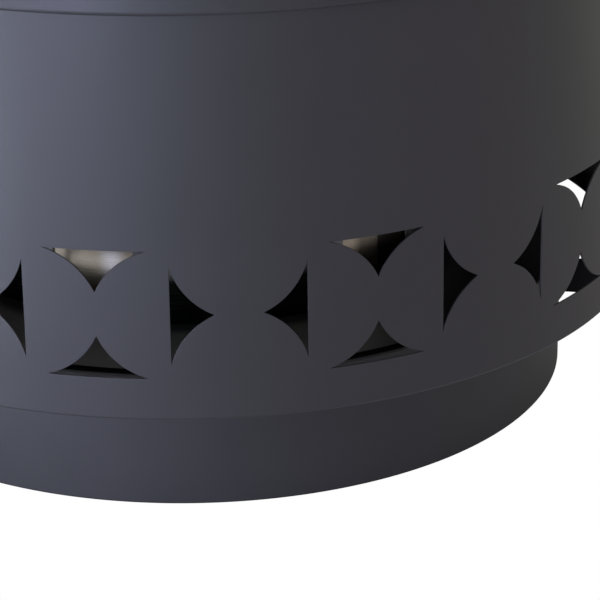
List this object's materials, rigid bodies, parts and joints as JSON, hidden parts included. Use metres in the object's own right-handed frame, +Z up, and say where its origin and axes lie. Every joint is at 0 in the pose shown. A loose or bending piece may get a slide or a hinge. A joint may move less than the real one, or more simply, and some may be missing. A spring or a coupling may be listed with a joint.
{
  "type": "fire pit with grate",
  "caption": "Round drum fire pit with a perforated painted casing on a recessed plinth, a steel fire bowl, a lift-out log grate and ash pan, and a lift-off ledge and flame ring.",
  "frame": {"origin": "on the drum's axis, at the plane that the plinth rests on", "axes": "+Z up along the drum's axis; -Y points out through the middle of the first group of cut-outs, and +X through the first bracket"},
  "size_m": [0.711, 0.711, 0.4218],
  "materials": {
    "casing_coat": "satin powder coat, blue-grey",
    "bowl_steel": "brushed stainless steel, warm with heat tint",
    "ring_steel": "dull galvanised steel",
    "grate_steel": "matte high-temperature black, sooty",
    "rivet_steel": "plain zinc-plated steel"
  },
  "bodies": {
    "root": {"base_plinth": "casing_coat", "bracket_rivet_lower_1": "rivet_steel", "bracket_rivet_lower_2": "rivet_steel", "bracket_rivet_lower_3": "rivet_steel", "bracket_rivet_upper_1": "rivet_steel", "bracket_rivet_upper_2": "rivet_steel", "bracket_rivet_upper_3": "rivet_steel", "burn_chamber": "bowl_steel", "chamber_rivet_1": "rivet_steel", "chamber_rivet_2": "rivet_steel", "chamber_rivet_3": "rivet_steel", "chamber_rivet_4": "rivet_steel", "chamber_rivet_5": "rivet_steel", "chamber_rivet_6": "rivet_steel", "lip_rivet_1": "rivet_steel", "lip_rivet_2": "rivet_steel", "lip_rivet_3": "rivet_steel", "outer_shell": "casing_coat", "ring_rivet_1": "rivet_steel", "ring_rivet_2": "rivet_steel", "ring_rivet_3": "rivet_steel", "ring_rivet_4": "rivet_steel", "ring_rivet_5": "rivet_steel", "ring_rivet_6": "rivet_steel", "shell_bracket_1": "casing_coat", "shell_bracket_2": "casing_coat", "shell_bracket_3": "casing_coat", "support_ring": "ring_steel"},
    "ledge": {"top_ledge": "casing_coat"},
    "flame_ring": {"flame_ring": "bowl_steel"},
    "ash_pan": {"ash_pan": "ring_steel"},
    "grate": {"grate_ring": "grate_steel", "grate_bar_1": "grate_steel", "grate_bar_2": "grate_steel", "grate_bar_3": "grate_steel", "grate_bar_4": "grate_steel", "grate_bar_5": "grate_steel", "grate_bar_6": "grate_steel", "grate_bar_7": "grate_steel", "grate_bar_8": "grate_steel", "grate_bar_9": "grate_steel", "grate_crossbar_1": "grate_steel", "grate_crossbar_2": "grate_steel", "grate_leg_1": "grate_steel", "grate_leg_2": "grate_steel", "grate_leg_3": "grate_steel", "grate_leg_4": "grate_steel"}
  },
  "joints": [
    {"name": "ledge_lift", "type": "slide", "parent": "root", "child": "ledge", "axis": [0, 0, 1], "range_m": [0, 0.15]},
    {"name": "flame_ring_lift", "type": "slide", "parent": "ledge", "child": "flame_ring", "axis": [0, 0, 1], "range_m": [0, 0.12]},
    {"name": "ash_pan_lift", "type": "slide", "parent": "root", "child": "ash_pan", "axis": [0, 0, 1], "range_m": [0, 0.36]},
    {"name": "grate_lift", "type": "slide", "parent": "ash_pan", "child": "grate", "axis": [0, 0, 1], "range_m": [0, 0.36]}
  ]
}
